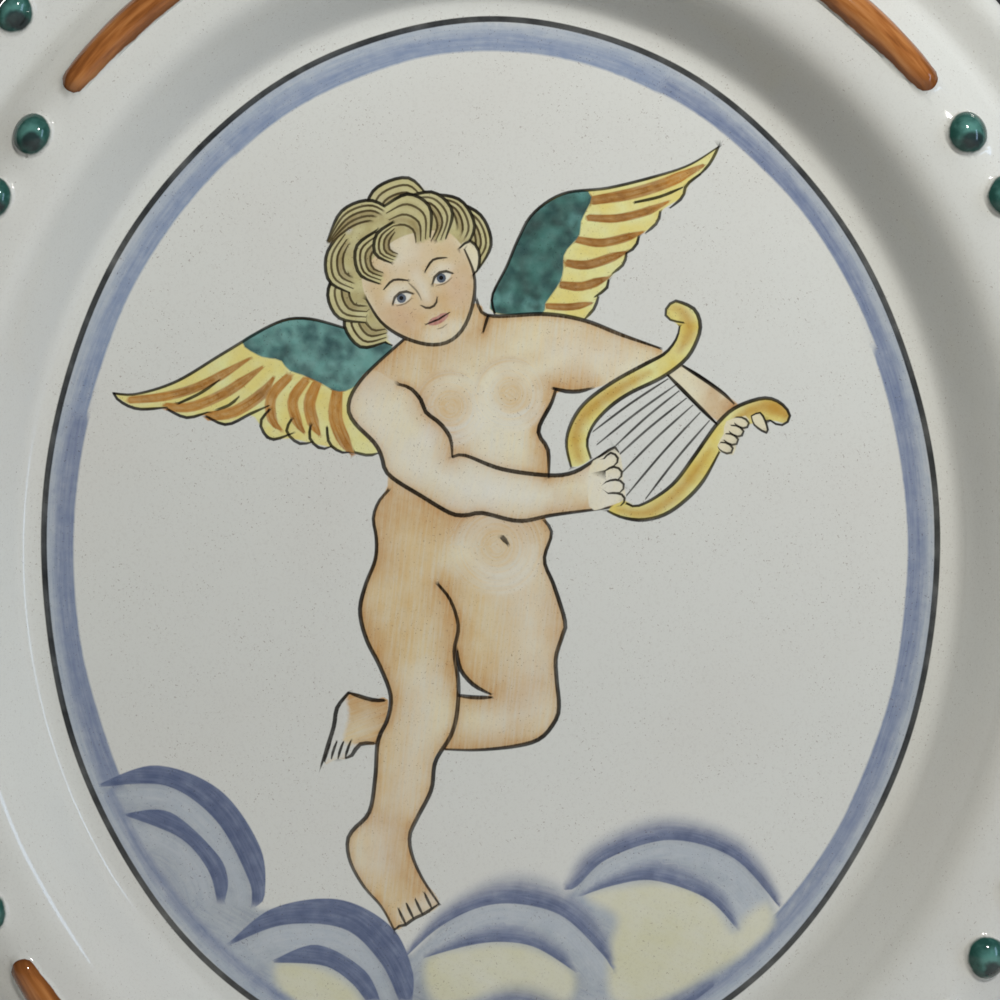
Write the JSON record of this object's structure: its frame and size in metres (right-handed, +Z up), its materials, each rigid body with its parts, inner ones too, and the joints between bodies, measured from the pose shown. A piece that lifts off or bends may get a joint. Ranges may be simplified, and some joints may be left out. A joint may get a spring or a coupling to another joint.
{
  "type": "decorative wall plaque",
  "caption": "Oval glazed earthenware wall plaque with a flat painted panel, coved rim, bead and spindle moulding and a foot ring behind for hanging.",
  "frame": {"origin": "on the flat rear face of the foot ring, at the middle of its top", "axes": "+Z up, +X to the viewer's right, the picture faces -Y and the wall is the plane Y = 0"},
  "size_m": [0.404, 0.043, 0.454],
  "materials": {
    "glaze": "glossy off-white tin glaze with painted decoration"
  },
  "bodies": {
    "root": {"plaque": "glaze"}
  },
  "joints": []
}
